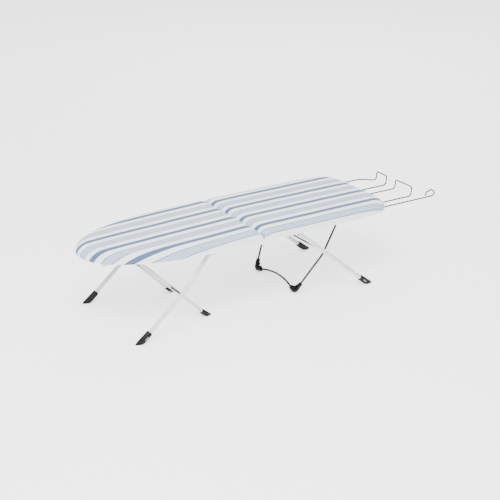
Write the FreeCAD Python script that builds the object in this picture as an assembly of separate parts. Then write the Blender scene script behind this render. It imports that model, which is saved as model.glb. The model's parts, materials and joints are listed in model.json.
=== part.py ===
"""Folding tabletop ironing board: two padded halves, four crossed leg frames, a sliding iron rest.

Millimetres. +X runs from the nose to the square end, +Y to the far side, +Z up.
The floor is z = 0. Lengths along X below are measured from the fold line and moved by
SHIFT_X at export, so that the origin is at the bottom centre of the whole object.
"""
import FreeCAD, Part
import math
import os

V = FreeCAD.Vector

# Board outline
HALF_WIDTH = 174.0
NOSE_LENGTH = 474.0
NOSE_TAPER_START = 90.0
NOSE_EXPONENT = 2.2
TAIL_LENGTH = 451.0
TAIL_TAPER_START = 200.0
TAIL_EXPONENT = 5.0

# Board layers, from the top down
TOP_Z = 240.0
COVER_T = 1.2
COVER_GAP = 0.3
DECK_T = 1.2
RIM_H = 10.0
RIM_W = 9.0
RIM_T = 1.5
RIM_INSET = 5.0
DECK_TOP_Z = 224.7
HEM_Z = 211.5
HEM_RETURN = 10.0
EDGE_ROUND = 12.0
DECK_TOP_GAP = 0.3
RIM_TOP_Z = DECK_TOP_Z - DECK_T
RIM_BOTTOM_Z = RIM_TOP_Z - RIM_H

# Deck openings
MESH_PITCH_X = 38.0
MESH_PITCH_Y = 17.0
MESH_HOLE_X = 27.0
MESH_HOLE_Y = 10.0
MESH_MARGIN = 20.0

# Fold hinge: a link plate with a pin in each half
FOLD_GAP = 1.0
FOLD_ROUND = 16.0
PIN_X = FOLD_ROUND + FOLD_GAP / 2
PIN_Z = TOP_Z - FOLD_ROUND
PIN_R = 2.0
PIN_HEAD_R = 3.2
PIN_HEAD_T = 1.2
LINK_T = 2.0
LINK_W = 7.6
LEAF_T = 1.8
LEAF_LENGTH = 60.0
LEAF_Y = HALF_WIDTH - RIM_INSET - RIM_W
SIDE_GAP = 0.3
FIT_GAP = 0.05

# Cross rails under the deck
RAIL_W = 24.0
RAIL_T = 1.5
RAIL_END_GAP = 0.2
FRONT_RAIL_X = -318.0

# Outer legs of both halves
TUBE_R = 6.0
TUBE_WALL = 1.2
LEG_HINGE_Z = 204.0
LEG_ANGLE = 40.5
LEG_Y = 159.0
LEG_BEND_R = 40.0
TUBE_TO_FLOOR = 11.0
KNUCKLE_R = TUBE_R + 0.4
RIVET_R = 2.5
BRACKET_T = 1.5
BRACKET_W = 18.0
EAR_GAP = 0.3

# Nose legs
NOSE_PIVOT_X = -256.0
NOSE_PIVOT_Z = 111.0
NOSE_TOP_Y = 136.0
NOSE_INNER_ANGLE = 45.0
NOSE_INNER_Y = 99.0
NOSE_INNER_TOP_Y = 75.0
NOSE_INNER_R = 5.0
NOSE_INNER_TOP_Z = 203.0
NOSE_INNER_CORNER_R = 18.0
NOSE_CATCH_Y = 49.0

# Tail legs
TAIL_PIVOT_X = 212.0
TAIL_PIVOT_Z = 127.5
TAIL_TOP_Y = 146.0
WIRE_ANGLE = 61.0
WIRE_R = 3.0
WIRE_Y = LEG_Y - 12.5
WIRE_FOOT_Y = 102.0
WIRE_TOP_Z = 204.0
WIRE_PIN_Y = WIRE_Y - 15.5
WIRE_FOOT_Z = 3.4
ARCH_ANGLE = 16.9
EYE_R = 6.0
EYE_T = 5.6
TAIL_CATCH_Y = WIRE_PIN_Y + 5.0

# Pivot rods
ROD_R = 2.5
CAP_R = 4.6
CAP_T = 2.4
WASHER_R = 5.5
WASHER_T = 1.5

# Feet
BOOT_R = 8.0
BOOT_LENGTH = 40.0
TOE_REACH = 14.0
HEEL_REACH = 18.0
SOLE_H = 7.5
SMALL_BOOT_R = 6.8
SMALL_BOOT_LENGTH = 27.0
CLIP_R = 6.3

# Iron rest
REST_R = 2.0
REST_Z = 205.6
REST_YS = (123.0, 38.0, -4.0, -83.0, -117.0)
REST_LOOP_X = 575.0
REST_REACH = 635.0
REST_RISE = 27.0
REST_INNER_X = 338.0
EYE_SHAPE = ((0.0, 0.0), (12.0, 9.0), (-5.0, 21.0), (-24.0, 15.0), (-25.0, 4.5))
EYE_RADII = (12.0, 6.0, 9.0, 7.0)
GUIDE_XS = (355.0, 398.0)
GUIDE_T = 1.5
GUIDE_DROP = 4.5
STOP_GAP = 4.0

# Hanging plates in which the tops of the inner frames travel: window in X, then in Z
CATCH_T = 2.0
CATCH_EDGE = 4.0
CATCH_FLANGE = 12.0
NOSE_WINDOW = (-428.0, -340.0, 197.0, 210.5)
TAIL_WINDOW = (250.0, 332.0, 200.0, 211.8)

# Overall box centre
SHIFT_X = (NOSE_LENGTH - REST_REACH) / 2
SLOPE = math.tan(math.radians(LEG_ANGLE))
UP = V(0, 0, 1)
SIDE = V(0, 1, 0)
NOSE_HINGE_X = NOSE_PIVOT_X + (LEG_HINGE_Z - NOSE_PIVOT_Z) / SLOPE
TAIL_HINGE_X = TAIL_PIVOT_X - (LEG_HINGE_Z - TAIL_PIVOT_Z) / SLOPE


def box(x0, x1, y0, y1, z0, z1):
    """Solid between two corners given in any order."""
    low = V(min(x0, x1), min(y0, y1), min(z0, z1))
    return Part.makeBox(abs(x1 - x0), abs(y1 - y0), abs(z1 - z0), low)


def cross_pin(x, z, y0, y1, radius):
    """Round bar along Y between y0 and y1."""
    return Part.makeCylinder(radius, abs(y1 - y0), V(x, min(y0, y1), z), SIDE)


def fuse(shapes):
    """One solid from touching shapes."""
    result = shapes[0].fuse(shapes[1:]) if len(shapes) > 1 else shapes[0]
    return result.removeSplitter()


def mirrored(shape):
    """Copy on the other side of the XZ plane."""
    return shape.mirror(V(0, 0, 0), SIDE)


def both_sides(shape):
    """The shape and its copy across the XZ plane, as separate solids."""
    return Part.makeCompound([shape, mirrored(shape)])


def corner_arc(before, corner, after, radius):
    """Start, middle, end and centre of the arc that rounds a corner."""
    back = (before - corner).normalize()
    ahead = (after - corner).normalize()
    half = back.getAngle(ahead) / 2
    reach = radius / math.tan(half)
    bisector = (back + ahead).normalize()
    centre = corner + bisector * (radius / math.sin(half))
    return corner + back * reach, centre - bisector * radius, corner + ahead * reach, centre


def bent_path(points, radii):
    """Wire of straight runs joined by tangent arcs, one radius for each inner point."""
    edges = []
    start = points[0]
    for before, corner, after, radius in zip(points, points[1:], points[2:], radii):
        first, middle, last, _ = corner_arc(before, corner, after, radius)
        edges.append(Part.LineSegment(start, first).toShape())
        edges.append(Part.Arc(first, middle, last).toShape())
        start = last
    edges.append(Part.LineSegment(start, points[-1]).toShape())
    return Part.Wire(edges)


def swept(path, radius, bore=0.0):
    """Round bar, or a tube when a bore is given, along a path."""
    first = path.OrderedEdges[0]
    start = first.valueAt(first.FirstParameter)
    along = first.tangentAt(first.FirstParameter)
    wires = [Part.Wire(Part.Circle(start, along, radius).toShape())]
    if bore:
        wires.append(Part.Wire(Part.Circle(start, along, bore).toShape()))
    bars = [path.makePipeShell([wire], True, False) for wire in wires]
    solid = bars[0].cut(bars[1]) if bore else bars[0]
    expected = path.Length * math.pi * (radius ** 2 - bore ** 2)
    assert abs(solid.Volume / expected - 1) < 0.03, (solid.Volume, expected)
    return solid


# ---- board layers ----

def end_curve(sign, inset):
    """Superellipse end of a half, from the +Y side round to the -Y side."""
    nose = sign < 0
    start = NOSE_TAPER_START if nose else TAIL_TAPER_START
    reach = (NOSE_LENGTH if nose else TAIL_LENGTH) - start - inset
    width = HALF_WIDTH - inset
    power = NOSE_EXPONENT if nose else TAIL_EXPONENT
    points = []
    steps = 24
    for step in range(steps + 1):
        angle = math.radians(90 - 180 * step / steps)
        across = abs(math.sin(angle))
        along = abs(math.cos(angle)) if 0 < step < steps else 0.0
        scale = (across ** power + along ** power) ** (-1 / power)
        x = sign * (start + reach * scale * along)
        points.append(V(x, math.copysign(width * scale * across, angle), 0))
    curve = Part.BSplineCurve()
    curve.interpolate(Points=points, InitialTangent=V(sign, 0, 0), FinalTangent=V(-sign, 0, 0))
    return curve.toShape()


def half_prism(sign, inset, z0, z1, fold_x):
    """Straight-walled slab of one half, its fold side at the distance fold_x from the fold line."""
    curve = end_curve(sign, inset)
    a, b = (vertex.Point for vertex in curve.Vertexes)
    far, near = (a, b) if a.y > 0 else (b, a)
    far_corner = V(sign * fold_x, far.y, 0)
    near_corner = V(sign * fold_x, near.y, 0)
    sides = [
        Part.LineSegment(far_corner, far).toShape(),
        Part.LineSegment(near, near_corner).toShape(),
        Part.LineSegment(near_corner, far_corner).toShape(),
    ]
    wire = Part.Wire(Part.__sortEdges__([curve] + sides))
    wire.translate(V(0, 0, z0))
    return Part.Face(wire).extrude(V(0, 0, z1 - z0))


def fold_profile(sign, inset, z0, z1):
    """Block whose fold side is upright and turns over into the top with the fold round."""
    radius = FOLD_ROUND - inset
    wide = HALF_WIDTH * 2
    x_face = PIN_X - radius
    corner = V(PIN_X - radius * math.sqrt(0.5), 0, PIN_Z + radius * math.sqrt(0.5))
    low = min(z0, PIN_Z) - 5
    points = [V(x_face, 0, low), V(x_face, 0, PIN_Z), V(PIN_X, 0, z1), V(NOSE_LENGTH, 0, z1)]
    edges = [
        Part.LineSegment(points[0], points[1]).toShape(),
        Part.Arc(points[1], corner, points[2]).toShape(),
        Part.LineSegment(points[2], points[3]).toShape(),
        Part.LineSegment(points[3], V(NOSE_LENGTH, 0, low)).toShape(),
        Part.LineSegment(V(NOSE_LENGTH, 0, low), points[0]).toShape(),
    ]
    block = Part.Face(Part.Wire(edges)).extrude(V(0, 2 * wide, 0))
    block.translate(V(0, -wide, 0))
    return block if sign > 0 else block.mirror(V(0, 0, 0), V(1, 0, 0))


def rounded_half(sign, inset, z0):
    """Pillow-edged body of one half, inset from the outside of the cover."""
    z1 = TOP_Z - inset
    slab = half_prism(sign, inset, z0, z1, -3 * EDGE_ROUND)
    rims = [edge for edge in slab.Edges if _on_top_outside(edge, sign, z1)]
    slab = slab.makeFillet(EDGE_ROUND - inset, rims)
    return slab.common(fold_profile(sign, inset, z0, z1))


def _on_top_outside(edge, sign, z1):
    """True for the top edges of a slab apart from its fold side."""
    flat = all(abs(vertex.Z - z1) < 0.01 for vertex in edge.Vertexes)
    middle = edge.valueAt((edge.FirstParameter + edge.LastParameter) / 2)
    return flat and middle.x * sign > -3 * EDGE_ROUND + 1


def hinge_pockets(sign, z0):
    """Room for the link plates to swing in one half."""
    inner = LEAF_Y - LEAF_T - LINK_T - 2.0
    far = box(-sign * 2, sign * (PIN_X + LINK_W), inner, LEAF_Y + PIN_HEAD_T, z0, TOP_Z + 1)
    return [far, mirrored(far)]


def cover(sign):
    """Fitted cloth cover, open underneath apart from a turned-in hem."""
    outside = rounded_half(sign, 0.0, HEM_Z)
    inside = rounded_half(sign, COVER_T, HEM_Z + COVER_T)
    fold_hem = FOLD_GAP / 2 + HEM_RETURN
    mouth = half_prism(sign, HEM_RETURN, HEM_Z - 1, HEM_Z + COVER_T + 1, fold_hem)
    return outside.cut([inside, mouth] + hinge_pockets(sign, PIN_Z - LINK_W))


def pad(sign):
    """Foam pad between deck and cover."""
    body = rounded_half(sign, COVER_T + COVER_GAP, DECK_TOP_Z + DECK_TOP_GAP)
    return body.cut(hinge_pockets(sign, DECK_TOP_Z))


def deck(sign):
    """Steel sheet deck with staggered lozenge openings."""
    fold_x = FOLD_GAP / 2 + RIM_INSET
    sheet = half_prism(sign, RIM_INSET, RIM_TOP_Z, DECK_TOP_Z, fold_x)
    safe = half_prism(sign, MESH_MARGIN + MESH_HOLE_X / 2, RIM_TOP_Z, DECK_TOP_Z, LEAF_LENGTH)
    length = NOSE_LENGTH if sign < 0 else TAIL_LENGTH
    holes = []
    rows = int(HALF_WIDTH / MESH_PITCH_Y)
    for row in range(-rows, rows + 1):
        shift = MESH_PITCH_X / 2 if row % 2 else 0.0
        for column in range(1, int(length / MESH_PITCH_X) + 1):
            centre = V(sign * (column * MESH_PITCH_X + shift), row * MESH_PITCH_Y, RIM_TOP_Z)
            if safe.isInside(centre + UP * DECK_T / 2, 0.01, True):
                holes.append(lozenge(centre))
    return sheet.cut([Part.makeCompound(holes)] + hinge_pockets(sign, PIN_Z - LINK_W))


def lozenge(centre):
    """Cutter for one deck opening."""
    reach_x = V(MESH_HOLE_X / 2, 0, 0)
    reach_y = V(0, MESH_HOLE_Y / 2, 0)
    corners = [centre + reach_x, centre + reach_y, centre - reach_x, centre - reach_y]
    outline = Part.makePolygon(corners + corners[:1])
    outline.translate(V(0, 0, -1))
    return Part.Face(outline).extrude(V(0, 0, DECK_T + 2))


def rim(sign):
    """Steel channel round the edge of a half, open to the inside."""
    fold_x = FOLD_GAP / 2 + RIM_INSET
    z0, z1 = RIM_BOTTOM_Z, RIM_TOP_Z
    block = half_prism(sign, RIM_INSET, z0, z1, fold_x)
    groove = half_prism(sign, RIM_INSET + RIM_T, z0 + RIM_T, z1 - RIM_T, fold_x + RIM_T)
    middle = half_prism(sign, RIM_INSET + RIM_W, z0 - 1, z1 + 1, fold_x + RIM_W)
    return block.cut([groove, middle] + hinge_pockets(sign, PIN_Z - LINK_W))


def rail_half(x):
    """Half length of a cross rail that ends at the inside of the rim."""
    nose = x < 0
    inset = RIM_INSET + RIM_W
    start = NOSE_TAPER_START if nose else TAIL_TAPER_START
    reach = (NOSE_LENGTH if nose else TAIL_LENGTH) - start - inset
    power = NOSE_EXPONENT if nose else TAIL_EXPONENT
    along = max(0.0, abs(x) + RAIL_W / 2 - start) / reach
    return (HALF_WIDTH - inset) * (1 - along ** power) ** (1 / power) - RAIL_END_GAP


def rail(x):
    """Cross rail, a channel open at the bottom, welded under the deck."""
    half_length = rail_half(x)
    outer = box(x - RAIL_W / 2, x + RAIL_W / 2, -half_length, half_length, RIM_BOTTOM_Z, RIM_TOP_Z)
    inner = box(x - RAIL_W / 2 + RAIL_T, x + RAIL_W / 2 - RAIL_T, -half_length, half_length,
                RIM_BOTTOM_Z - 1, RIM_TOP_Z - RAIL_T)
    return outer.cut(inner)


# ---- fold hinge ----

def hinge_leaf(sign):
    """Plate along the inside of the rim that holds the hinge pin."""
    radius = LINK_W / 2 + 0.5
    inner = LEAF_Y - LEAF_T
    flat = box(sign * PIN_X, sign * LEAF_LENGTH, inner, LEAF_Y, RIM_BOTTOM_Z, RIM_TOP_Z)
    nose = cross_pin(sign * PIN_X, PIN_Z, inner, LEAF_Y, radius)
    web = box(sign * (PIN_X - radius), sign * PIN_X, inner, LEAF_Y, PIN_Z - LINK_W + 0.6, PIN_Z)
    bore = cross_pin(sign * PIN_X, PIN_Z, LEAF_Y - LEAF_T, LEAF_Y, PIN_R + FIT_GAP)
    return both_sides(fuse([flat, nose, web]).cut(bore))


def hinge_link():
    """Two-hole plate that carries one half round the other."""
    y1 = LEAF_Y - LEAF_T - SIDE_GAP
    y0 = y1 - LINK_T
    bar = box(-PIN_X, PIN_X, y0, y1, PIN_Z - LINK_W / 2, PIN_Z + LINK_W / 2)
    ends = [cross_pin(x, PIN_Z, y0, y1, LINK_W / 2) for x in (-PIN_X, PIN_X)]
    bores = [cross_pin(x, PIN_Z, y0, y1, PIN_R + FIT_GAP) for x in (-PIN_X, PIN_X)]
    return both_sides(fuse([bar] + ends).cut(bores))


def hinge_pin(sign):
    """Rivet through a leaf and a link."""
    inner = LEAF_Y - LEAF_T - SIDE_GAP - LINK_T - SIDE_GAP / 2
    outer = LEAF_Y + SIDE_GAP / 2
    shank = cross_pin(sign * PIN_X, PIN_Z, inner, outer, PIN_R)
    heads = [
        cross_pin(sign * PIN_X, PIN_Z, inner - PIN_HEAD_T, inner, PIN_HEAD_R),
        cross_pin(sign * PIN_X, PIN_Z, outer, outer + PIN_HEAD_T / 2, PIN_HEAD_R),
    ]
    return both_sides(fuse([shank] + heads))


# ---- outer legs ----

def leg_points(pivot_x, pivot_z, hinge_x, top_y, toe):
    """Centre line of an outer leg tube, from its foot to its top hinge, on the +Y side."""
    down = V(toe * math.cos(math.radians(LEG_ANGLE)), 0, -math.sin(math.radians(LEG_ANGLE)))
    pivot = V(pivot_x, LEG_Y, pivot_z)
    top = V(hinge_x, top_y, LEG_HINGE_Z)
    floor = pivot + down * (pivot_z / math.sin(math.radians(LEG_ANGLE)))
    joggle = pivot - down * 14
    joggle_top = top + down * 24
    return [floor - down * TUBE_TO_FLOOR, joggle, joggle_top, top]


def outer_leg(pivot_x, pivot_z, hinge_x, top_y, toe):
    """Bent leg tube with a closed top knuckle, bored for its rivet and its pivot rod."""
    path = bent_path(leg_points(pivot_x, pivot_z, hinge_x, top_y, toe), (LEG_BEND_R, LEG_BEND_R))
    tube = swept(path, TUBE_R, TUBE_R - TUBE_WALL)
    knuckle = cross_pin(hinge_x, LEG_HINGE_Z, top_y - KNUCKLE_R, top_y + KNUCKLE_R, KNUCKLE_R)
    rivet = cross_pin(hinge_x, LEG_HINGE_Z, top_y - 20, top_y + 20, RIVET_R + FIT_GAP)
    rod = cross_pin(pivot_x, pivot_z, LEG_Y - 20, LEG_Y + 20, ROD_R + FIT_GAP)
    return fuse([tube, knuckle]).cut([rivet, rod])


def leg_bracket(hinge_x, top_y):
    """Folded clevis that hangs an outer leg from a cross rail."""
    inner = KNUCKLE_R + EAR_GAP
    outer = inner + BRACKET_T
    base_z = RIM_BOTTOM_Z - BRACKET_T
    half = BRACKET_W / 2
    wide = RAIL_W / 2
    base = box(hinge_x - wide, hinge_x + wide, top_y - outer, top_y + outer, base_z, RIM_BOTTOM_Z)
    pieces = [base]
    for side in (-1, 1):
        y0 = top_y + side * inner
        y1 = top_y + side * outer
        pieces.append(box(hinge_x - half, hinge_x + half, y0, y1, LEG_HINGE_Z, base_z))
        pieces.append(cross_pin(hinge_x, LEG_HINGE_Z, y0, y1, half))
    bore = cross_pin(hinge_x, LEG_HINGE_Z, top_y - 20, top_y + 20, RIVET_R + FIT_GAP)
    return both_sides(fuse(pieces).cut(bore))


def leg_rivet(hinge_x, top_y):
    """Headed rivet through a bracket and the top of an outer leg."""
    reach = KNUCKLE_R + EAR_GAP + BRACKET_T + FIT_GAP
    shank = cross_pin(hinge_x, LEG_HINGE_Z, top_y - reach, top_y + reach, RIVET_R)
    heads = []
    for side in (-1, 1):
        y0 = top_y + side * reach
        heads.append(cross_pin(hinge_x, LEG_HINGE_Z, y0, y0 + side * 1.4, 4.2))
    return both_sides(fuse([shank] + heads))


def pivot_rod(pivot_x, pivot_z):
    """Rod through all four legs of one pair of frames."""
    reach = LEG_Y + TUBE_R + 1.0
    return cross_pin(pivot_x, pivot_z, -reach, reach, ROD_R)


def rod_caps(pivot_x, pivot_z):
    """Push-on caps at both ends of a pivot rod."""
    y0 = LEG_Y + TUBE_R + 0.3
    y1 = LEG_Y + TUBE_R + 1.0 + CAP_T
    cap = cross_pin(pivot_x, pivot_z, y0, y1, CAP_R)
    cap = cap.makeFillet(0.9, [edge for edge in cap.Edges if abs(edge.CenterOfMass.y - y1) < 0.01])
    return both_sides(cap.cut(cross_pin(pivot_x, pivot_z, y0 - 1, LEG_Y + TUBE_R + 1.05, ROD_R + 0.02)))


def rod_washers(pivot_x, pivot_z, faces):
    """Retaining washers on a pivot rod, each against a face given by its y and its side."""
    rings = []
    for y_face, side in faces:
        y0 = y_face + side * SIDE_GAP
        ring = cross_pin(pivot_x, pivot_z, y0, y0 + side * WASHER_T, WASHER_R)
        ring = ring.cut(cross_pin(pivot_x, pivot_z, y0 - 5, y0 + 5, ROD_R + 0.02))
        rings += [ring, mirrored(ring)]
    return Part.makeCompound(rings)


def boot(floor_x, y, toe, angle, radius, length, bore):
    """Plastic boot on the end of a leg, its toe pointing outward and its sole on the floor."""
    slope = math.radians(angle)
    up_leg = V(-toe * math.cos(slope), 0, math.sin(slope))
    floor = V(floor_x, y, 0)
    scale = radius / BOOT_R
    sleeve = Part.makeCylinder(radius, length + 14, floor - up_leg * 14, up_leg)
    top = floor + up_leg * length
    mouth = [edge for edge in sleeve.Edges if edge.CenterOfMass.distanceToPoint(top) < 0.1]
    sleeve = sleeve.makeFillet(1.2, mouth)
    side = [(-HEEL_REACH, 0.6), (-HEEL_REACH * 0.8, 0), (TOE_REACH, 0), (TOE_REACH, 1.8),
            (TOE_REACH * 0.3, SOLE_H), (-HEEL_REACH * 0.75, SOLE_H)]
    corners = [V(floor_x + toe * scale * x, y, scale * z) for x, z in side]
    profile = Part.Face(Part.makePolygon(corners + corners[:1]))
    half = radius * 0.9
    profile.translate(V(0, -half, 0))
    sole = profile.extrude(V(0, 2 * half, 0))
    plan = [(-HEEL_REACH - 1, -half), (TOE_REACH * 0.2, -half), (TOE_REACH + 1, -half * 0.35),
            (TOE_REACH + 1, half * 0.35), (TOE_REACH * 0.2, half), (-HEEL_REACH - 1, half)]
    corners = [V(floor_x + toe * scale * x, y + dy, -1) for x, dy in plan]
    last = Part.Face(Part.makePolygon(corners + corners[:1])).extrude(V(0, 0, 3 * SOLE_H))
    below = box(floor_x - 90, floor_x + 90, y - 40, y + 40, -60, 0)
    tube_end = floor + up_leg * (TUBE_TO_FLOOR - 0.3)
    tube_room = Part.makeCylinder(bore + FIT_GAP, length + 20, tube_end, up_leg)
    return fuse([sleeve, sole.common(last)]).cut([below, tube_room])


# ---- nose inner frame ----

def inner_point(distance, y):
    """Point of the nose inner frame, by its distance up the leg from the pivot."""
    slope = math.radians(NOSE_INNER_ANGLE)
    x = NOSE_PIVOT_X - distance * math.cos(slope)
    return V(x, y, NOSE_PIVOT_Z + distance * math.sin(slope))


def nose_inner_frame():
    """One bent tube: two legs joined at the top by a bar."""
    slope = math.radians(NOSE_INNER_ANGLE)
    low = -NOSE_PIVOT_Z / math.sin(slope) + TUBE_TO_FLOOR
    high = (NOSE_INNER_TOP_Z - NOSE_PIVOT_Z) / math.sin(slope)
    places = ((low, NOSE_INNER_Y), (12, NOSE_INNER_Y), (high, NOSE_INNER_TOP_Y))
    half = [inner_point(distance, y) for distance, y in places]
    other = [V(p.x, -p.y, p.z) for p in reversed(half)]
    radii = (LEG_BEND_R, NOSE_INNER_CORNER_R, NOSE_INNER_CORNER_R, LEG_BEND_R)
    tube = swept(bent_path(half + other, radii), NOSE_INNER_R, NOSE_INNER_R - 1)
    return tube.cut(cross_pin(NOSE_PIVOT_X, NOSE_PIVOT_Z, -LEG_Y, LEG_Y, ROD_R + FIT_GAP))


def catch_plate(x0, x1, z0, z1, y):
    """Hanging plate with a window in which the top of an inner frame travels."""
    start = x0 - CATCH_EDGE
    end = x1 + CATCH_EDGE
    half = CATCH_T / 2
    plate = box(start, end, y - half, y + half, z0 - CATCH_EDGE, RIM_TOP_Z)
    flange = box(start, end, y, y - CATCH_FLANGE, RIM_TOP_Z - RAIL_T, RIM_TOP_Z)
    window = box(x0, x1, y - CATCH_T, y + CATCH_T, z0, z1)
    return both_sides(fuse([plate, flange]).cut(window))


# ---- tail inner wire frame ----

def wire_point(distance, y):
    """Point of the wire frame's plane, by its distance down from the pivot."""
    slope = math.radians(WIRE_ANGLE)
    return V(TAIL_PIVOT_X - distance * math.cos(slope), y, TAIL_PIVOT_Z - distance * math.sin(slope))


def wire_half():
    """Corner points of the wire frame on the +Y side, from its top pin to its foot corner."""
    sine = math.sin(math.radians(WIRE_ANGLE))
    top = -(WIRE_TOP_Z - TAIL_PIVOT_Z) / sine
    foot = (TAIL_PIVOT_Z - WIRE_FOOT_Z) / sine
    places = ((top, WIRE_PIN_Y), (top, WIRE_Y), (9, WIRE_Y), (foot, WIRE_FOOT_Y))
    return [wire_point(distance, y) for distance, y in places]


def arch_crown():
    """Crossing of the two slopes that rise from the foot corners."""
    sine = math.sin(math.radians(WIRE_ANGLE))
    rise = WIRE_FOOT_Y * math.tan(math.radians(ARCH_ANGLE))
    return wire_point((TAIL_PIVOT_Z - WIRE_FOOT_Z) / sine - rise, 0)


def arch_radius():
    """Radius that lets the arch reach nearly to the corner clips."""
    half_turn = math.radians(ARCH_ANGLE)
    return 74.0 / math.cos(half_turn) / math.tan(half_turn)


def tail_inner_wire():
    """One bent wire: top pins, flattened pivot eyes, two legs and an arched foot bar."""
    half = wire_half()
    other = [V(p.x, -p.y, p.z) for p in reversed(half)]
    radii = (6.0, 30.0, 11.0, arch_radius(), 11.0, 30.0, 6.0)
    bar = swept(bent_path(half + [arch_crown()] + other, radii), WIRE_R)
    eyes = []
    for side in (-1, 1):
        y = side * WIRE_Y
        eyes.append(cross_pin(TAIL_PIVOT_X, TAIL_PIVOT_Z, y - EYE_T / 2, y + EYE_T / 2, EYE_R))
    bore = cross_pin(TAIL_PIVOT_X, TAIL_PIVOT_Z, -LEG_Y, LEG_Y, ROD_R + FIT_GAP)
    return fuse([bar] + eyes).cut(bore)


def corner_clip():
    """Plastic foot moulded round a corner of the wire frame, with two bumps on its inner side."""
    half = wire_half()
    corner = half[-1]
    up_leg = (half[-2] - corner).normalize()
    inward = (arch_crown() - corner).normalize()
    path = bent_path([corner + up_leg * 31, corner, corner + inward * 25], (11.0,))
    body = swept(path, CLIP_R)
    inside = (up_leg + inward).normalize()
    across = up_leg.cross(inward).normalize()
    bumps = [Part.makeCylinder(4.2, 7.0, corner + inside * 9 + along * 10 - across * 3.5, across)
             for along in (up_leg, inward)]
    body = fuse([body] + bumps)
    floor = box(corner.x - 60, corner.x + 60, corner.y - 60, corner.y + 60, -40, 0)
    wire_path = bent_path([corner + up_leg * 60, corner, corner + inward * 60], (11.0,))
    return body.cut([floor, swept(wire_path, WIRE_R + FIT_GAP)])


# ---- iron rest ----

def rest_loop(y_first, y_last, narrow):
    """Points of one raised loop, out along y_first and back along y_last."""
    rise = V(0, 0, REST_RISE)
    first = V(REST_LOOP_X - 2, y_first - narrow, REST_Z)
    last = V(REST_LOOP_X - 4, y_last, REST_Z)
    lead = [V(REST_LOOP_X - 38, y_first, REST_Z)] if narrow else []
    return lead + [first, first + rise + V(4, 0, 0), last + rise + V(4, 0, 0), last]


def iron_rest_wire():
    """One serpentine wire: two raised loops, two inner turns and an eye at the free end."""
    y1, y2, y3, y4, y5 = REST_YS
    tail_x = REST_INNER_X - 2
    points = [V(tail_x, y1, REST_Z)]
    radii = []
    points += rest_loop(y1, y2, 34.0)
    radii += [40.0, 9.0, 6.0, 6.0, 8.0]
    points += [V(REST_INNER_X, y2, REST_Z), V(REST_INNER_X, y3, REST_Z)]
    radii += [14.0, 14.0]
    points += rest_loop(y3, y4, 0.0)
    radii += [8.0, 6.0, 6.0, 8.0]
    points += [V(REST_INNER_X, y4, REST_Z), V(REST_INNER_X, y5, REST_Z)]
    radii += [12.0, 12.0]
    points += eye_points(y5)
    radii += list(EYE_RADII)
    return swept(bent_path(points, radii), REST_R)


def eye_points(y):
    """Corner points of the eye, its outermost bend ending exactly at the reach of the rest."""
    corners = [V(x, y, REST_Z + rise) for x, rise in EYE_SHAPE]
    _, _, _, centre = corner_arc(corners[0], corners[1], corners[2], EYE_RADII[1])
    move = REST_REACH - REST_R - EYE_RADII[1] - centre.x
    return [corner + V(move, 0, 0) for corner in corners]


def rest_cross_wire():
    """Stop wire welded over the inner ends of the iron rest."""
    x = GUIDE_XS[0] - REST_R - STOP_GAP
    z = REST_Z + 2 * REST_R + FIT_GAP
    return cross_pin(x, z, REST_YS[0] + 3, REST_YS[-1] - 3, REST_R)


def rest_guide(x):
    """Angle bracket with a hole for each wire of the iron rest."""
    half = rail_half(GUIDE_XS[1])
    web = box(x - GUIDE_T / 2, x + GUIDE_T / 2, -half, half, REST_Z - GUIDE_DROP, RIM_BOTTOM_Z)
    flange = box(x - RAIL_W / 2, x + RAIL_W / 2, -half, half, RIM_BOTTOM_Z - GUIDE_T, RIM_BOTTOM_Z)
    holes = [Part.makeCylinder(REST_R + 0.08, 10, V(x - 5, y, REST_Z), V(1, 0, 0)) for y in REST_YS]
    return fuse([web, flange]).cut(holes)


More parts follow.
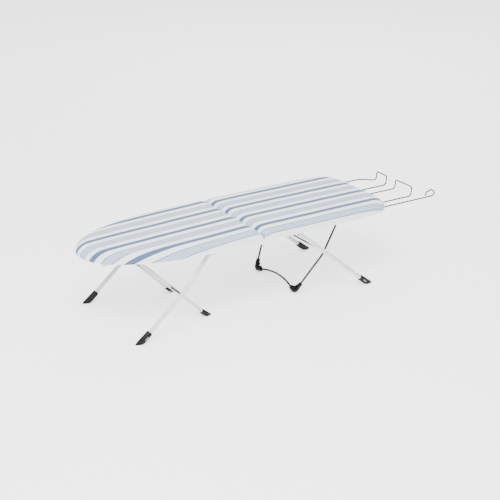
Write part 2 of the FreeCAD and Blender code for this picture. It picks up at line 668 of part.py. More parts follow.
def build():
    """All nodes by name."""
    nodes = {}
    for name, sign in (("nose", -1), ("tail", 1)):
        nodes[name + "_cover"] = cover(sign)
        nodes[name + "_pad"] = pad(sign)
        nodes[name + "_deck"] = deck(sign)
        nodes[name + "_rim"] = rim(sign)
        nodes[name + "_hinge_leaves"] = hinge_leaf(sign)
        nodes[name + "_hinge_pins"] = hinge_pin(sign)
    nodes["hinge_links"] = hinge_link()

    legs = (
        ("nose", NOSE_PIVOT_X, NOSE_PIVOT_Z, NOSE_HINGE_X, NOSE_TOP_Y, -1),
        ("tail", TAIL_PIVOT_X, TAIL_PIVOT_Z, TAIL_HINGE_X, TAIL_TOP_Y, 1),
    )
    for name, pivot_x, pivot_z, hinge_x, top_y, toe in legs:
        far = outer_leg(pivot_x, pivot_z, hinge_x, top_y, toe)
        nodes[name + "_outer_leg_left"] = far
        nodes[name + "_outer_leg_right"] = mirrored(far)
        floor_x = pivot_x + toe * pivot_z / SLOPE
        shoe = boot(floor_x, LEG_Y, toe, LEG_ANGLE, BOOT_R, BOOT_LENGTH, TUBE_R)
        nodes[name + "_outer_foot_left"] = shoe
        nodes[name + "_outer_foot_right"] = mirrored(shoe)
        nodes[name + "_leg_brackets"] = leg_bracket(hinge_x, top_y)
        nodes[name + "_leg_rivets"] = leg_rivet(hinge_x, top_y)
        nodes[name + "_pivot_rod"] = pivot_rod(pivot_x, pivot_z)
        nodes[name + "_rod_caps"] = rod_caps(pivot_x, pivot_z)
        nodes[name + "_hinge_rail"] = rail(hinge_x)

    nodes["nose_inner_frame"] = nose_inner_frame()
    inner_floor_x = NOSE_PIVOT_X + NOSE_PIVOT_Z / math.tan(math.radians(NOSE_INNER_ANGLE))
    shoe = boot(inner_floor_x, NOSE_INNER_Y, 1, NOSE_INNER_ANGLE, SMALL_BOOT_R, SMALL_BOOT_LENGTH,
                NOSE_INNER_R)
    nodes["nose_inner_foot_left"] = shoe
    nodes["nose_inner_foot_right"] = mirrored(shoe)
    inner_faces = ((NOSE_INNER_Y + NOSE_INNER_R, 1), (NOSE_INNER_Y - NOSE_INNER_R, -1))
    nodes["nose_rod_washers"] = rod_washers(NOSE_PIVOT_X, NOSE_PIVOT_Z, inner_faces)
    nodes["nose_catch_plates"] = catch_plate(*NOSE_WINDOW, NOSE_CATCH_Y)
    nodes["nose_front_rail"] = rail(FRONT_RAIL_X)

    nodes["tail_inner_wire"] = tail_inner_wire()
    clip = corner_clip()
    nodes["tail_inner_foot_left"] = clip
    nodes["tail_inner_foot_right"] = mirrored(clip)
    nodes["tail_rod_washers"] = rod_washers(TAIL_PIVOT_X, TAIL_PIVOT_Z, ((WIRE_Y - WIRE_R, -1),))
    nodes["tail_catch_plates"] = catch_plate(*TAIL_WINDOW, TAIL_CATCH_Y)

    for label, x in zip(("inner", "outer"), GUIDE_XS):
        nodes["tail_" + label + "_rail"] = rail(x)
        nodes["rest_" + label + "_guide"] = rest_guide(x)
    nodes["iron_rest_wire"] = iron_rest_wire()
    nodes["iron_rest_cross_wire"] = rest_cross_wire()
    return nodes


def export(nodes):
    """Write one STEP file for each node, moved to the object's own origin."""
    os.makedirs("parts", exist_ok=True)
    for name, shape in nodes.items():
        moved = shape.copy()
        moved.translate(V(SHIFT_X, 0, 0))
        moved.exportStep("parts/%s.step" % name)
        box_ = moved.BoundBox
        print("%-24s solids %3d valid %s vol %9.0f  x %7.1f %7.1f  y %7.1f %7.1f  z %6.1f %6.1f" % (
            name, len(moved.Solids), moved.isValid(), moved.Volume,
            box_.XMin, box_.XMax, box_.YMin, box_.YMax, box_.ZMin, box_.ZMax))


if __name__ == "__main__":
    export(build())
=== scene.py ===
# Looks of the folding tabletop ironing board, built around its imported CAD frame

import json
import math
import bmesh
import bpy
import numpy as np
from mathutils import Matrix, Vector, noise


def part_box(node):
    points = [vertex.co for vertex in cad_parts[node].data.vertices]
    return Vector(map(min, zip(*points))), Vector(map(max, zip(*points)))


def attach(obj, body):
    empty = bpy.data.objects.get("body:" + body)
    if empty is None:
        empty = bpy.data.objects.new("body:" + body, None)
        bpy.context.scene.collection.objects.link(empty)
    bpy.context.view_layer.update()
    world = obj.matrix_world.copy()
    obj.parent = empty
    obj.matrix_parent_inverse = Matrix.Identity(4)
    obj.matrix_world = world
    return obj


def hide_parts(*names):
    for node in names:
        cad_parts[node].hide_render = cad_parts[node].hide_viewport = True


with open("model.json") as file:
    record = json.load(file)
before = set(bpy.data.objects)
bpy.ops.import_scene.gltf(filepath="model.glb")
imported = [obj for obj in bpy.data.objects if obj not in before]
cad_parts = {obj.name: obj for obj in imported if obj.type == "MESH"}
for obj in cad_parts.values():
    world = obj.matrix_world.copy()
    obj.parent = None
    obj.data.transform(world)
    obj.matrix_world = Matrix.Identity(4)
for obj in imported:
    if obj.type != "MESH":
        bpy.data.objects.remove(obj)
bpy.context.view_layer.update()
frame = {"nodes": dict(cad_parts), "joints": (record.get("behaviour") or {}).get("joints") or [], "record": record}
MM = 0.001

# ---- places taken from the frame ----
NOSE_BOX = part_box("nose_cover")
TAIL_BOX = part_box("tail_cover")
FOLD_X = (NOSE_BOX[1].x + TAIL_BOX[0].x) / 2
HEM_Z = TAIL_BOX[0].z
TOP_Z = TAIL_BOX[1].z
HALF_WIDTH = TAIL_BOX[1].y
FOLD_GAP = TAIL_BOX[0].x - FOLD_X
DECK_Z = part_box("tail_deck")[1].z
FOLD_PIN_Z = frame["joints"][0]["pos_m"][2]

# Each half: its direction from the fold, its outline, its fold shoulder and its cloth's stripes
HALVES = {
    "nose": {
        "sign": -1,
        "length": FOLD_X - NOSE_BOX[0].x,
        "taper": 90 * MM,
        "power": 2.2,
        "spine": 330 * MM,
        "droop": 1.5 * MM,
        "droop_run": 30 * MM,
        "stripe_zero": 54.0 * MM,
        "stripe_pitch": 79.5 * MM,
        "skew": 0.06,
        "seed": 3,
    },
    "tail": {
        "sign": 1,
        "length": TAIL_BOX[1].x - FOLD_X,
        "taper": 200 * MM,
        "power": 5.0,
        "spine": 320 * MM,
        "droop": 4.0 * MM,
        "droop_run": 45 * MM,
        "stripe_zero": 40.0 * MM,
        "stripe_pitch": 78.0 * MM,
        "skew": 0.0,
        "seed": 11,
    },
}
ROLL_WIDTH = 38 * MM
HEM_CURL = 2.0 * MM
HEM_RETURN = 9 * MM
CROWN = 3.0 * MM
SHOULDER = 20 * MM
CORNER_ROUND = 9 * MM
CUT_ALLOWANCE = 30 * MM
FLAT_ROWS = 21
PAD_INSET = 8 * MM
PAD_ROLL = 30 * MM


# ---- small helpers ----

def new_object(name, verts, faces, smooth=True):
    """Mesh object from plain lists."""
    mesh = bpy.data.meshes.new(name)
    mesh.from_pydata([tuple(v) for v in verts], [], faces)
    mesh.validate()
    if smooth:
        mesh.shade_smooth()
    piece = bpy.data.objects.new(name, mesh)
    bpy.context.scene.collection.objects.link(piece)
    return piece


def add_modifier(piece, kind, **values):
    """Modifier with its settings."""
    modifier = piece.modifiers.new(kind.title(), kind)
    for key, value in values.items():
        setattr(modifier, key, value)
    return modifier


# ---- board shape ----

def outline(half):
    """Points and outward normals round one half, from the near fold corner to the far one."""
    reach = half["length"] - half["taper"]
    power = half["power"]
    dense = []
    for step in range(721):
        angle = math.radians(-90 + step / 4)
        along, across = abs(math.cos(angle)), abs(math.sin(angle))
        scale = (along ** power + across ** power) ** (-1 / power)
        y = math.copysign(HALF_WIDTH * scale * across, angle)
        dense.append((half["taper"] + reach * scale * along, y))
    dense = np.array(dense)
    steps = np.hypot(*np.diff(dense, axis=0).T)
    arc = np.concatenate([[0], np.cumsum(steps)])
    count = int(arc[-1] / (6 * MM))
    even = np.linspace(0, arc[-1], count + 1)
    curve = np.stack([np.interp(even, arc, dense[:, 0]), np.interp(even, arc, dense[:, 1])], -1)
    ahead = np.gradient(curve, axis=0)
    normals = np.stack([ahead[:, 1], -ahead[:, 0]], -1)
    normals /= np.linalg.norm(normals, axis=1)[:, None]
    normals[0] = (0, -1)
    normals[-1] = (0, 1)
    return curve, normals


def cut_area(half):
    """Flat area of a cover's cut: the half's outline grown by the hem allowance all round."""
    curve, _ = outline(half)
    around = np.vstack([[(0, -HALF_WIDTH)], curve, [(0, HALF_WIDTH)]])
    ahead = np.roll(around, -1, axis=0)
    cross = around[:, 0] * ahead[:, 1] - ahead[:, 0] * around[:, 1]
    inside = abs(np.sum(cross)) / 2
    edge = np.hypot(*(ahead - around).T).sum()
    return inside + edge * CUT_ALLOWANCE + math.pi * CUT_ALLOWANCE ** 2


def fold_stations(half, z_low, face, depth):
    """Places along a half near its fold: x, share of full height, distance along the cloth."""
    full = TOP_Z - z_low
    rows = []
    for back in (1.0, 0.5, 0.0):
        rows.append((face + HEM_RETURN * back, 0.0))
    wall = full - depth
    for step in (0.2, 0.5, 0.8):
        rows.append((face, wall * step))
    for step in range(11):
        angle = math.radians(9 * step)
        x = face + SHOULDER * (1 - math.cos(angle))
        drop = half["droop"] * max(0.0, 1 - x / half["droop_run"]) ** 2
        rows.append((x, wall + depth * math.sin(angle) - drop))
    x = rows[-1][0]
    while x < half["taper"] - 6 * MM:
        x += 5 * MM
        drop = half["droop"] * max(0.0, 1 - x / half["droop_run"]) ** 2
        rows.append((x, full - drop))
    places = np.array(rows)
    steps = np.hypot(*np.diff(places, axis=0).T)
    cloth = np.concatenate([[0], np.cumsum(steps)])
    cloth += places[-1, 0] - cloth[-1]
    return [(x, height / full, along) for (x, height), along in zip(places, cloth)]


def edge_profile(roll, z_low, closed):
    """Inset and height share, from the underside round the edge to the flat top."""
    rows = []
    curl = HEM_CURL / (TOP_Z - z_low)
    if not closed:
        rows += [(HEM_RETURN, 0.0), (HEM_RETURN / 2, 0.0), (HEM_CURL, 0.0)]
    rows += [(HEM_CURL * 0.3, curl * 0.3), (0.0, curl)]
    for step in range(1, 15):
        angle = math.radians(90 * step / 14)
        rows.append((roll * (1 - math.cos(angle)), curl + (1 - curl) * math.sin(angle)))
    return rows


def shell_points(half, z_low, inset, roll, depth, closed):
    """Grid of places over one half and the matching flat-cloth coordinates."""
    curve, normals = outline(half)
    face = FOLD_GAP + inset * 0.6
    stations = fold_stations(half, z_low, face, depth)
    columns = []
    for x, share, along in stations:
        turn = max(0.0, CORNER_ROUND - (x - face)) / CORNER_ROUND
        narrow = CORNER_ROUND * (1 - math.sqrt(max(0.0, 1 - turn ** 2)))
        columns.append((np.array((x, narrow - HALF_WIDTH)), np.array((0.0, -1.0)), share, along))
    for place, normal in zip(curve, normals):
        columns.append((place, normal, 1.0, place[0]))
    for x, share, along in reversed(stations):
        turn = max(0.0, CORNER_ROUND - (x - face)) / CORNER_ROUND
        narrow = CORNER_ROUND * (1 - math.sqrt(max(0.0, 1 - turn ** 2)))
        columns.append((np.array((x, HALF_WIDTH - narrow)), np.array((0.0, 1.0)), share, along))
    profile = edge_profile(roll, z_low, closed)
    full = TOP_Z - z_low - inset
    points, cloth = [], []
    for place, normal, share, along in columns:
        spine = np.array((min(place[0], half["spine"]), 0.0))
        outer = place - normal * inset
        column, flats = [], []
        last = None
        run = 0.0
        for depth_in, height in profile:
            p = outer - normal * depth_in
            here = np.array((depth_in, height * full))
            if last is not None:
                run += math.hypot(*(here - last))
            last = here
            column.append((p, height))
            flats.append(run)
        ring = outer - normal * roll
        start_run = run
        for row in range(1, FLAT_ROWS + 1):
            p = ring + (spine - ring) * row / FLAT_ROWS
            column.append((p, 1.0))
            flats.append(start_run + np.linalg.norm(p - ring))
        reach = max(np.linalg.norm(outer - spine), 1e-6)
        for (p, height), flat in zip(column, flats):
            out = np.linalg.norm(p - spine) / reach
            z = z_low + share * height * (full - CROWN * min(out, 1.0) ** 2)
            points.append((p[0], p[1], z))
            beyond = max(0.0, start_run - flat)
            unrolled = ring + normal * beyond if flat < start_run else p
            cloth.append((along + (unrolled[0] - place[0]), unrolled[1], flat))
    rows = len(profile) + FLAT_ROWS
    return np.array(points), np.array(cloth), len(columns), rows


def cloth_waves(points, cloth, half, amount):
    """Slight unevenness of stretched cloth, and small gathers along the elastic hem."""
    moved = points.copy()
    for index, ((x, y, z), (along, across, edge)) in enumerate(zip(points, cloth)):
        soft = noise.noise(Vector((x * 14, y * 14, half["seed"])))
        height = (z - HEM_Z) / (TOP_Z - HEM_Z)
        moved[index, 2] += (soft - 0.35) * amount * max(0.0, height) * 0.7
        near_hem = max(0.0, 1 - edge / (34 * MM)) ** 2
        place = along if abs(y) > 0.6 * HALF_WIDTH else across
        gather = math.sin(place / (3.1 * MM) + 3 * noise.noise(Vector((x * 30, y * 30, 5.0))))
        pull = 0.45 * MM * near_hem * gather
        moved[index, 1] -= math.copysign(pull + 0.3 * MM * near_hem, y)
    return moved


def pucker(points, half):
    """The bunched corner of the nose cover that hangs below its hem beside the fold."""
    if half["sign"] > 0:
        return points
    moved = points.copy()
    for index, (x, y, z) in enumerate(points):
        along = (x - 17 * MM) / (17 * MM)
        side = (abs(y) - HALF_WIDTH + 8 * MM) / (14 * MM)
        low = max(0.0, 1 - (z - HEM_Z) / (9 * MM))
        weight = max(0.0, 1 - along ** 2) * max(0.0, 1 - side ** 2) * low
        crease = 0.85 + 0.15 * math.cos(x / (2.2 * MM))
        moved[index, 2] -= 10 * MM * weight * crease
        moved[index, 1] -= math.copysign(3.0 * MM * weight * (1 - low * 0.5), y)
    return moved


def build_shell(name, half, points, cloth, columns, rows, closed):
    """Mesh from the grid, with the flat-cloth coordinates stored on it."""
    sign = half["sign"]
    verts = [(FOLD_X + sign * x, y, z) for x, y, z in points]
    faces = []
    for column in range(columns - 1):
        for row in range(rows - 1):
            a = column * rows + row
            b = a + rows
            faces.append((a, b, b + 1, a + 1) if sign > 0 else (a, a + 1, b + 1, b))
    if closed:
        bottom = [column * rows for column in range(columns)]
        faces.append(tuple(reversed(bottom)) if sign > 0 else tuple(bottom))
    piece = new_object(name, verts, faces)
    store = piece.data.attributes.new("cloth", "FLOAT_VECTOR", "POINT")
    store.data.foreach_set("vector", cloth.astype(np.float32).ravel())
    add_modifier(piece, "WELD", merge_threshold=0.02 * MM)
    apply_modifiers(piece)
    return piece


def apply_modifiers(piece):
    """Turns the shown shape into the mesh itself."""
    graph = bpy.context.evaluated_depsgraph_get()
    mesh = bpy.data.meshes.new_from_object(piece.evaluated_get(graph))
    old = piece.data
    piece.modifiers.clear()
    piece.data = mesh
    bpy.data.meshes.remove(old)


def make_cover(name, half):
    """Fitted cotton cover of one half."""
    depth = TOP_Z - FOLD_PIN_Z
    grid = shell_points(half, HEM_Z, 0.0, ROLL_WIDTH, depth, closed=False)
    points, cloth, columns, rows = grid
    points = pucker(cloth_waves(points, cloth, half, 0.8 * MM), half)
    piece = build_shell(name, half, points, cloth, columns, rows, closed=False)
    add_modifier(piece, "SUBSURF", levels=1, render_levels=1)
    add_modifier(piece, "SOLIDIFY", thickness=0.7 * MM, offset=-1.0)
    return piece


def make_pad(name, half):
    """Foam pad of one half."""
    inset = PAD_INSET
    low = DECK_Z + 0.4 * MM
    depth = TOP_Z - low - 1.6 * MM
    grid = shell_points(half, low, inset, PAD_ROLL, depth * 0.98, closed=True)
    points, cloth, columns, rows = grid
    points[:, 2] = np.where(points[:, 2] > low, low + (points[:, 2] - low) * 1.25, points[:, 2])
    points[:, 2] = np.minimum(points[:, 2], TOP_Z - 2.2 * MM)
    piece = build_shell(name, half, points, cloth, columns, rows, closed=True)
    return piece


# ---- feet ----

FEET = {
    "outer": {"angle": 40.5, "radius": 8.2 * MM, "length": 40 * MM, "toe": 14 * MM, "heel": 9 * MM},
    "inner": {"angle": 45.0, "radius": 6.9 * MM, "length": 27 * MM, "toe": 12 * MM, "heel": 7 * MM},
}


def foot_places():
    """Each boot's node, body, floor point, toe direction and kind."""
    places = []
    for end, toe in (("nose", -1), ("tail", 1)):
        for mount in frame["record"]["mounts"]:
            if mount["name"].startswith(end):
                side = mount["name"].split("_")[1]
                floor = Vector(mount["pos_m"])
                places.append((f"{end}_outer_foot_{side}", end + "_outer_legs", floor, toe, "outer"))
    for side in ("left", "right"):
        low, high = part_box("nose_inner_foot_" + side)
        floor = Vector((high.x - FEET["inner"]["toe"], (low.y + high.y) / 2, 0))
        places.append(("nose_inner_foot_" + side, "nose_inner_legs", floor, 1, "inner"))
    return places


def make_boot(name, floor, toe, size):
    """Boot pushed on a leg: a round sleeve running down into a flat sole with a toe."""
    slope = math.radians(size["angle"])
    up_leg = Vector((-toe * math.cos(slope), 0, math.sin(slope)))
    front = Vector((toe * math.sin(slope), 0, math.cos(slope)))
    side = Vector((0, 1, 0))
    radius = size["radius"]
    shape = bmesh.new()
    sleeve = ((size["length"], 1.0), (size["length"] - 3 * MM, 1.06), (radius * 1.7, 1.0))
    for distance, grow in sleeve:
        for step in range(28):
            angle = math.tau * step / 28
            ring = front * math.cos(angle) + side * math.sin(angle)
            shape.verts.new(floor + up_leg * distance + ring * radius * grow)
    toes = ((1.0, 0.30, 0.4), (1.0, 0.30, 2.6), (0.55, 0.62, 0.0), (0.3, 0.8, 7.0))
    for ahead, half, height in toes:
        for way in (-1, 1):
            place = Vector((toe * size["toe"] * ahead, way * radius * half, height * MM))
            shape.verts.new(floor + place)
    for back, half, height in ((1.0, 0.7, 2.4), (0.75, 0.8, 0.0), (0.2, 0.95, 0.0)):
        for way in (-1, 1):
            place = Vector((-toe * size["heel"] * back, way * radius * half, height * MM))
            shape.verts.new(floor + place)
    made = bmesh.ops.convex_hull(shape, input=shape.verts)
    inside = [v for v in made["geom_interior"] if isinstance(v, bmesh.types.BMVert)]
    bmesh.ops.delete(shape, geom=inside, context="VERTS")
    flat = math.radians(4)
    bmesh.ops.dissolve_limit(shape, angle_limit=flat, verts=shape.verts, edges=shape.edges)
    piece = new_object(name, [], [])
    shape.to_mesh(piece.data)
    shape.free()
    piece.data.shade_smooth()
    add_modifier(piece, "BEVEL", width=1.0 * MM, segments=3, limit_method="ANGLE", angle_limit=0.4)
    add_modifier(piece, "WEIGHTED_NORMAL")
    return piece


def make_boot_highlight_patch(name, floor, toe, size):
    """Pale lens-shaped raised patch on the outer side of a boot, a painted highlight."""
    slope = math.radians(size["angle"])
    up_leg = Vector((-toe * math.cos(slope), 0, math.sin(slope)))
    front = Vector((toe * math.sin(slope), 0, math.cos(slope)))
    way = math.copysign(1, floor.y)
    centre = floor + up_leg * size["length"] * 0.55 + Vector((0, way * size["radius"] * 0.90, 0))
    verts, faces = [], []
    steps = 24
    for grow, proud in ((1.0, 0.0), (0.86, 1.25), (0.5, 1.5)):
        for step in range(steps):
            angle = math.tau * step / steps
            along = up_leg * math.cos(angle) * size["length"] * 0.19 * grow
            across = front * math.sin(angle) * size["radius"] * 0.20 * grow
            verts.append(centre + along + across + Vector((0, way * proud * MM, 0)))
    for ring in range(2):
        for step in range(steps):
            a = ring * steps + step
            b = ring * steps + (step + 1) % steps
            faces.append((a, b, b + steps, a + steps))
    faces.append(tuple(range(2 * steps, 3 * steps)))
    faces.append(tuple(reversed(range(steps))))
    return new_object(name, verts, faces)


def add_feet(plastic, pale):
    """All pushed-on boots, standing for the plain ones."""
    for node, body, floor, toe, kind in foot_places():
        boot = make_boot(node + "_boot", floor, toe, FEET[kind])
        boot.data.materials.append(plastic)
        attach(boot, body)
        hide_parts(node)
        if kind == "outer":
            # The pale patch on each outer boot is a painted highlight.
            painted_highlight = make_boot_highlight_patch(node + "_mark", floor, toe, FEET[kind])
            painted_highlight.data.materials.append(pale)
            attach(painted_highlight, body)


# ---- materials ----

class Nodes:
    """Short names for building a material's node tree."""

    def __init__(self, name):
        self.material = bpy.data.materials.new(name)
        self.material.use_nodes = True
        self.tree = self.material.node_tree
        self.shader = self.tree.nodes["Principled BSDF"]

    def add(self, kind, **values):
        node = self.tree.nodes.new(kind)
        for key, value in values.items():
            setattr(node, key, value)
        return node

    def link(self, source, target):
        self.tree.links.new(source, target)

    def put(self, target, value):
        if isinstance(value, bpy.types.NodeSocket):
            self.link(value, target)
        else:
            target.default_value = value

    def math(self, operation, a, b=0.0, c=0.0):
        node = self.add("ShaderNodeMath", operation=operation)
        for socket, value in zip(node.inputs, (a, b, c)):
            self.put(socket, value)
        return node.outputs[0]

    def smooth_step(self, value, low, high):
        """0 below low, 1 above high."""
        node = self.add("ShaderNodeMapRange", interpolation_type="SMOOTHSTEP")
        self.put(node.inputs["Value"], value)
        node.inputs["From Min"].default_value = low
        node.inputs["From Max"].default_value = high
        return node.outputs["Result"]

    def mix(self, factor, a, b):
        node = self.add("ShaderNodeMix", data_type="RGBA")
        self.put(node.inputs["Factor"], factor)
        self.put(node.inputs["A"], a)
        self.put(node.inputs["B"], b)
        return node.outputs["Result"]

    def noise(self, scale, detail=3.0, vector=None, roughness=0.5):
        node = self.add("ShaderNodeTexNoise")
        node.inputs["Scale"].default_value = scale
        node.inputs["Detail"].default_value = detail
        node.inputs["Roughness"].default_value = roughness
        if vector is None:
            vector = self.add("ShaderNodeTexCoord").outputs["Object"]
        self.link(vector, node.inputs["Vector"])
        return node.outputs["Fac"]

    def bump(self, height, distance, strength=1.0):
        node = self.add("ShaderNodeBump")
        node.inputs["Distance"].default_value = distance
        node.inputs["Strength"].default_value = strength
        self.link(height, node.inputs["Height"])
        self.link(node.outputs["Normal"], self.shader.inputs["Normal"])

    def set(self, **values):
        for key, value in values.items():
            self.put(self.shader.inputs[key.replace("_", " ")], value)


def colour(red, green, blue):
    """Linear colour from screen values 0 to 255."""
    def linear(v):
        v /= 255
        return v / 12.92 if v <= 0.04045 else ((v + 0.055) / 1.055) ** 2.4
    return (linear(red), linear(green), linear(blue), 1.0)


TICK_PITCH = 5.75 * MM


def striped_cotton(name, half):
    """Woven cotton: slate stripes, white grounds and bands of pin lines between thin lines."""
    n = Nodes(name)
    store = n.add("ShaderNodeAttribute", attribute_name="cloth")
    split = n.add("ShaderNodeSeparateXYZ")
    n.link(store.outputs["Vector"], split.inputs[0])
    along, across, edge = split.outputs
    pitch = half["stripe_pitch"]
    slant = n.math("MULTIPLY", along, half["skew"])
    wander = n.noise(9.0, 1.0, store.outputs["Vector"])
    slant = n.math("MULTIPLY_ADD", wander, 2.0 * MM, slant)
    place = n.math("ADD", across, slant)
    place = n.math("SUBTRACT", place, half["stripe_zero"])
    turns = n.math("DIVIDE", place, pitch)
    away = n.math("PINGPONG", turns, 0.5)
    away = n.math("MULTIPLY", away, pitch)

    soft = 0.5 * MM
    in_dark = n.math("SUBTRACT", 1.0, n.smooth_step(away, 8.2 * MM - soft, 8.2 * MM + soft))
    beyond = n.smooth_step(n.math("ABSOLUTE", across), HALF_WIDTH, HALF_WIDTH + 2 * MM)
    in_dark = n.math("MULTIPLY", in_dark, n.math("SUBTRACT", 1.0, beyond))
    from_line = n.math("ABSOLUTE", n.math("SUBTRACT", away, 28 * MM))
    in_line = n.math("SUBTRACT", 1.0, n.smooth_step(from_line, 1.5 * MM - soft, 1.5 * MM + soft))
    in_band = n.smooth_step(away, 28 * MM - soft, 28 * MM + soft)

    from_middle = n.math("SUBTRACT", pitch / 2, away)
    tick_rows = n.math("COSINE", n.math("MULTIPLY", from_middle, 2 * math.pi / TICK_PITCH))
    row_on = n.smooth_step(tick_rows, 0.0, 0.6)
    breaks = n.math("SINE", n.math("MULTIPLY", along, 2 * math.pi / (6.5 * MM)))
    tick_on = n.smooth_step(breaks, -1.0, -0.8)
    ticks = n.math("MULTIPLY", n.math("MULTIPLY", row_on, tick_on), in_band)

    white = colour(250, 252, 254)
    pale = colour(206, 220, 238)
    slate = colour(54, 80, 118)
    line = colour(50, 76, 114)
    tick = colour(72, 100, 140)
    base = n.mix(in_band, white, pale)
    base = n.mix(ticks, base, tick)
    base = n.mix(in_dark, base, slate)
    base = n.mix(in_line, base, line)

    # Painted shade: where the weave dips (the same waves that drive the bump) the colour is dulled towards
    # grey-blue; the slub noise lightens it in places, partly random yarn tone and partly painted light on the
    # raised slubs.
    thread = 2 * math.pi / (0.95 * MM)
    warp = n.math("SINE", n.math("MULTIPLY", along, thread))
    weft = n.math("SINE", n.math("MULTIPLY", across, thread))
    weave = n.math("MULTIPLY", warp, weft)
    slub = n.noise(420.0, 2.0, store.outputs["Vector"])
    grey = n.math("MULTIPLY_ADD", weave, 0.035, 0.5)
    grey = n.math("ADD", grey, n.math("MULTIPLY", slub, 0.10))
    shade = n.smooth_step(grey, 0.2, 0.75)
    base = n.mix(n.math("SUBTRACT", 1.0, shade), base, n.mix(0.5, base, colour(150, 164, 184)))

    seam = n.math("ABSOLUTE", n.math("SUBTRACT", edge, 22 * MM))
    stitch_wave = n.math("SINE", n.math("MULTIPLY", along, 2 * math.pi / (3.2 * MM)))
    stitch = n.smooth_step(stitch_wave, -0.3, 0.1)
    seam_line = n.math("SUBTRACT", 1.0, n.smooth_step(seam, 0.35 * MM, 1.3 * MM))
    height = n.math("MULTIPLY_ADD", weave, 0.10, n.math("MULTIPLY", slub, 0.25))
    dip = n.math("MULTIPLY", seam_line, n.math("MULTIPLY_ADD", stitch, 0.8, 0.6))
    height = n.math("SUBTRACT", height, dip)
    creases = n.noise(55.0, 4.0, store.outputs["Vector"], 0.6)
    height = n.math("MULTIPLY_ADD", creases, 0.5, height)
    n.bump(height, 0.5 * MM, 0.8)
    n.set(Base_Color=base, Roughness=0.85, Sheen_Weight=0.15, Sheen_Roughness=0.5)
    n.shader.inputs["Specular IOR Level"].default_value = 0.2
    return n.material


def foam():
    """Open-cell pad foam."""
    n = Nodes("pad_foam")
    cells = n.noise(900.0, 2.0)
    blot = n.noise(18.0, 3.0)
    base = n.mix(blot, colour(236, 233, 222), colour(222, 217, 203))
    n.bump(cells, 0.4 * MM, 0.9)
    n.set(Base_Color=base, Roughness=0.95)
    return n.material


def enamel():
    """Glossy white powder coat with faint orange peel."""
    n = Nodes("white_enamel")
    peel = n.noise(260.0, 2.0)
    dust = n.noise(24.0, 4.0)
    dusty = n.smooth_step(dust, 0.35, 0.8)
    base = n.mix(dusty, colour(214, 216, 218), colour(196, 199, 203))
    n.bump(peel, 0.12 * MM, 0.35)
    n.set(Base_Color=base, Roughness=n.math("MULTIPLY_ADD", dust, 0.12, 0.20))
    n.set(Coat_Weight=0.4, Coat_Roughness=0.12)
    return n.material


def bright_wire():
    """Drawn and plated wire whose dark base colour is a painted reflection of a darker room than the floor."""
    n = Nodes("bright_wire")
    drawn = n.noise(180.0, 3.0)
    base = n.mix(drawn, colour(40, 41, 44), colour(78, 80, 84))
    n.bump(drawn, 0.03 * MM, 0.3)
    n.set(Base_Color=base, Metallic=1.0, Roughness=n.math("MULTIPLY_ADD", drawn, 0.12, 0.14))
    return n.material


def plated():
    """Zinc-plated small steel parts."""
    n = Nodes("plated_steel")
    spangle = n.noise(150.0, 4.0)
    base = n.mix(spangle, colour(150, 152, 154), colour(190, 192, 196))
    n.bump(spangle, 0.05 * MM, 0.4)
    n.set(Base_Color=base, Metallic=1.0, Roughness=n.math("MULTIPLY_ADD", spangle, 0.2, 0.25))
    return n.material


def painted_highlight_plastic():
    """Grey painted highlight on the outer boots."""
    n = Nodes("painted_highlight_plastic")
    grain = n.noise(500.0, 2.0)
    n.bump(grain, 0.05 * MM, 0.3)
    n.set(Base_Color=n.mix(grain, colour(120, 122, 126), colour(160, 162, 166)), Roughness=0.35)
    return n.material


def black_plastic():
    """Moulded black plastic with a slightly uneven gloss."""
    n = Nodes("black_plastic")
    grain = n.noise(700.0, 2.0)
    wear = n.noise(40.0, 4.0)
    base = n.mix(n.smooth_step(wear, 0.5, 0.9), colour(3, 3, 3), colour(11, 11, 12))
    n.bump(grain, 0.06 * MM, 0.35)
    n.set(Base_Color=base, Roughness=n.math("MULTIPLY_ADD", wear, 0.2, 0.15))
    n.shader.inputs["Specular IOR Level"].default_value = 0.2
    return n.material


# ---- stage ----

CAMERA_YAW = math.radians(57.805)
CAMERA_DIP = math.radians(21.851)
CAMERA_ROLL = math.radians(-0.353)
CAMERA_PLACE = Vector((-1.9084, -2.9948, 1.5357))
CAMERA_LENS = 96.02


def add_camera():
    """Camera at the photographed angle."""
    data = bpy.data.cameras.new("camera")
    data.lens = CAMERA_LENS
    data.sensor_width = 36.0
    camera = bpy.data.objects.new("camera", data)
    level = math.cos(CAMERA_DIP)
    ahead = Vector((math.cos(CAMERA_YAW) * level, math.sin(CAMERA_YAW) * level, -math.sin(CAMERA_DIP)))
    upright = ahead.to_track_quat("-Z", "Y").to_matrix()
    camera.rotation_euler = (upright @ Matrix.Rotation(CAMERA_ROLL, 3, "Z")).to_euler()
    camera.location = CAMERA_PLACE
    bpy.context.scene.collection.objects.link(camera)
    bpy.context.scene.camera = camera


def add_area(name, place, target, size, power):
    """Soft square light aimed at a point."""
    data = bpy.data.lights.new(name, "AREA")
    data.size = size
    data.energy = power
    light = bpy.data.objects.new(name, data)
    light.location = place
    light.rotation_euler = (Vector(target) - Vector(place)).to_track_quat("-Z", "Y").to_euler()
    bpy.context.scene.collection.objects.link(light)


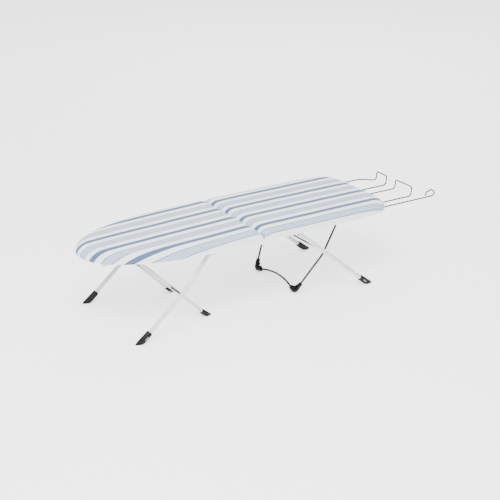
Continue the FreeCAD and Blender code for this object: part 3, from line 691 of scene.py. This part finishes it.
def add_world():
    """Bright soft sky that falls off towards the horizon, so that round bars get grey sides."""
    world = bpy.data.worlds.new("studio")
    bpy.context.scene.world = world
    world.use_nodes = True
    tree = world.node_tree
    place = tree.nodes.new("ShaderNodeTexCoord")
    split = tree.nodes.new("ShaderNodeSeparateXYZ")
    fall = tree.nodes.new("ShaderNodeMapRange")
    fall.interpolation_type = "SMOOTHSTEP"
    fall.inputs["From Min"].default_value = 0.2
    fall.inputs["From Max"].default_value = 0.75
    fall.inputs["To Min"].default_value = 0.35
    fall.inputs["To Max"].default_value = 2.3
    tree.links.new(place.outputs["Generated"], split.inputs[0])
    tree.links.new(split.outputs["Z"], fall.inputs["Value"])
    tree.links.new(fall.outputs["Result"], tree.nodes["Background"].inputs["Strength"])
    tree.nodes["Background"].inputs["Color"].default_value = (1, 1, 1, 1)


def add_stage():
    """Pale floor, white surroundings and soft light."""
    size = 30.0
    corners = [(-size, -size, 0), (size, -size, 0), (size, size, 0), (-size, size, 0)]
    floor = new_object("floor", corners, [(0, 1, 2, 3)], smooth=False)
    n = Nodes("pale_floor")
    n.set(Base_Color=n.mix(n.noise(3.0), (0.93, 0.93, 0.93, 1), (0.95, 0.95, 0.95, 1)), Roughness=0.9)
    n.shader.inputs["Emission Color"].default_value = (1, 1, 1, 1)
    n.shader.inputs["Emission Strength"].default_value = 1.1
    floor.data.materials.append(n.material)
    add_world()
    add_area("key", (-1.4, -1.6, 2.6), (0, 0, 0.1), 1.6, 150)
    add_area("far_fill", (1.8, 2.4, 2.2), (0, 0, 0.1), 2.0, 50)


def main():
    add_camera()
    add_stage()
    coats = {
        "white_enamel": enamel(),
        "bright_wire": bright_wire(),
        "plated_steel": plated(),
        "black_plastic": black_plastic(),
        "pad_foam": foam(),
    }
    for part in frame["record"]["subparts"]:
        node = frame["nodes"][part["node"]]
        if part["material_slot"] in coats:
            node.data.materials.clear()
            node.data.materials.append(coats[part["material_slot"]])
    add_feet(coats["black_plastic"], painted_highlight_plastic())
    for end in ("nose", "tail"):
        caps = frame["nodes"][end + "_rod_caps"]
        caps.data.materials.clear()
        caps.data.materials.append(coats["white_enamel"])
    for label, half in HALVES.items():
        body = label + "_half"
        cover = make_cover(label + "_cloth", half)
        cover.data.materials.append(striped_cotton(label + "_cotton", half))
        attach(cover, body)
        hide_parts(label + "_cover")
        cut_area(half)
        pad = make_pad(label + "_foam", half)
        pad.data.materials.append(coats["pad_foam"])
        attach(pad, body)
        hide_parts(label + "_pad")


main()
